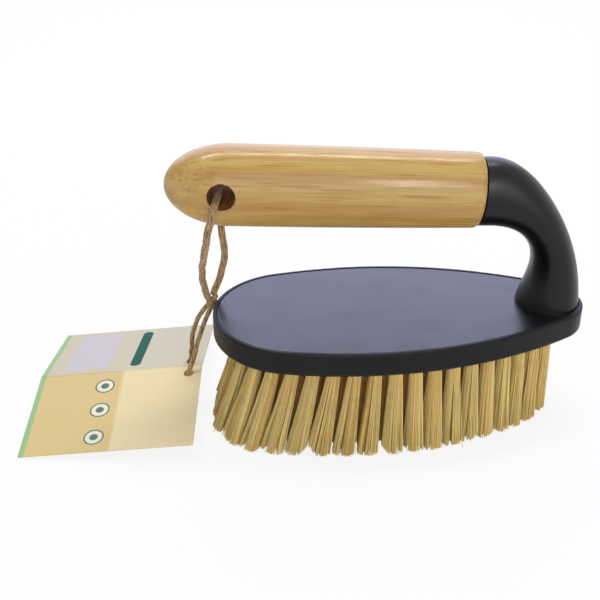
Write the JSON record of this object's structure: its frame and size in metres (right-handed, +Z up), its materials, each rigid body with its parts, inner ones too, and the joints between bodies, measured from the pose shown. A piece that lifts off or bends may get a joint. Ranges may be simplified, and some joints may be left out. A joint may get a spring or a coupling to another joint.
{
  "type": "scrub brush",
  "caption": "Hand scrub brush: egg-shaped black bristle block with an arm carrying a bamboo grip over it, and a folded card tag on a twine loop.",
  "frame": {"origin": "on the floor plane under the middle of the block, at the tip of the tuft in the middle", "axes": "+X along the block from its broad toe to the heel that carries the arm, +Y across, +Z up from the bristle tips"},
  "size_m": [0.2281, 0.1009, 0.1163],
  "materials": {
    "black_plastic": "satin",
    "bamboo": "satin",
    "plant_fibre": "matte",
    "zinc_steel": "satin",
    "jute_twine": "matte",
    "kraft_card": "matte"
  },
  "bodies": {
    "brush": {"bristle_block": "black_plastic", "arm_cover": "black_plastic", "grip": "bamboo", "cover_screws": "zinc_steel", "outer_ring_tufts": "plant_fibre", "second_ring_tufts": "plant_fibre", "third_ring_tufts": "plant_fibre", "inner_rows_tufts": "plant_fibre", "middle_row_tufts": "plant_fibre", "outer_ring_anchors": "zinc_steel", "second_ring_anchors": "zinc_steel", "third_ring_anchors": "zinc_steel", "inner_rows_anchors": "zinc_steel", "middle_row_anchors": "zinc_steel"},
    "hang_loop": {"twine_loop": "jute_twine", "twine_left_tail": "jute_twine", "twine_right_tail": "jute_twine", "loop_knot": "jute_twine", "tag_knot": "jute_twine", "tag_near_panel": "kraft_card"},
    "tag_far": {"tag_far_panel": "kraft_card"}
  },
  "joints": [
    {"name": "loop_swing", "type": "hinge", "parent": "brush", "child": "hang_loop", "pos_m": [-0.06981, 0, 0.10071], "axis": [0, 1, 0], "range_deg": [0, 80]},
    {"name": "tag_fold", "type": "hinge", "parent": "hang_loop", "child": "tag_far", "pos_m": [-0.1494, 0.0183, 0.007], "axis": [0.9906, -0.0945, 0.0985], "range_deg": [-85, 17]}
  ]
}
